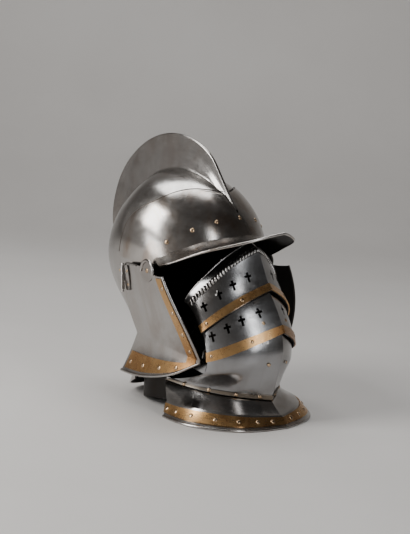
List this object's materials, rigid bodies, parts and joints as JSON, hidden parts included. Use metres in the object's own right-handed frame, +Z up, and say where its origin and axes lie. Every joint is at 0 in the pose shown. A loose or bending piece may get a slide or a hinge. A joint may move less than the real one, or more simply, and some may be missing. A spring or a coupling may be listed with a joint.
{
  "type": "closed helmet",
  "caption": "Closed helmet with a high comb, peaked brow plate, hinged flared cheek pieces and a lamed face defence pierced with crosses over a flared gorget.",
  "frame": {"origin": "bottom centre of the whole outline, on the surface that the helmet rests on", "axes": "the helmet faces -Y, its wearer's left is +X and +Z is up"},
  "size_m": [0.2642, 0.3632, 0.3693],
  "materials": {
    "polished_steel": "polished bright, lightly scratched and stained",
    "dark_steel": "plain, unpolished",
    "brass": "worn, browned"
  },
  "bodies": {
    "skull": {"brow_plate": "polished_steel", "brow_rivet_left_1": "brass", "brow_rivet_left_2": "brass", "brow_rivet_left_3": "brass", "brow_rivet_middle": "brass", "brow_rivet_right_1": "brass", "brow_rivet_right_2": "brass", "brow_rivet_right_3": "brass", "chin_plate": "polished_steel", "chin_rivet_left": "brass", "chin_rivet_right": "brass", "gorget_border": "brass", "gorget_plate": "polished_steel", "left_hinge_pin": "polished_steel", "left_inner_arm": "dark_steel", "left_skull_leaf": "polished_steel", "lower_catch": "polished_steel", "neck_band": "brass", "rear_collar": "dark_steel", "right_hinge_pin": "polished_steel", "right_inner_arm": "dark_steel", "right_skull_leaf": "polished_steel", "skull": "polished_steel"},
    "middle_lame": {"left_buffe_pivot": "polished_steel", "middle_lame": "polished_steel", "middle_lame_band": "brass", "middle_lame_rivet_left": "brass", "middle_lame_rivet_right": "brass", "right_buffe_pivot": "polished_steel", "upper_catch": "polished_steel"},
    "left_cheek": {"left_cheek": "polished_steel", "left_cheek_border": "brass", "left_cheek_leaf": "polished_steel", "left_lug_rivet": "brass"},
    "right_cheek": {"right_cheek": "polished_steel", "right_cheek_border": "brass", "right_cheek_leaf": "polished_steel", "right_lug_rivet": "brass"},
    "upper_lame": {"upper_lame": "polished_steel", "upper_lame_band": "brass"}
  },
  "joints": [
    {"name": "right_cheek_hinge", "type": "hinge", "parent": "skull", "child": "right_cheek", "pos_m": [-0.1045, 0.047, 0.173], "axis": [0, -0.1168, -0.9932], "range_deg": [-3, 70]},
    {"name": "left_cheek_hinge", "type": "hinge", "parent": "skull", "child": "left_cheek", "pos_m": [0.1045, 0.047, 0.173], "axis": [0, 0.1168, 0.9932], "range_deg": [-3, 70]},
    {"name": "upper_lame_fall", "type": "hinge", "parent": "middle_lame", "child": "upper_lame", "pos_m": [0, -0.036, 0.082], "axis": [1, 0, 0], "range_deg": [0, 18]},
    {"name": "middle_lame_fall", "type": "hinge", "parent": "skull", "child": "middle_lame", "pos_m": [0, -0.036, 0.082], "axis": [1, 0, 0], "range_deg": [0, 12]}
  ]
}
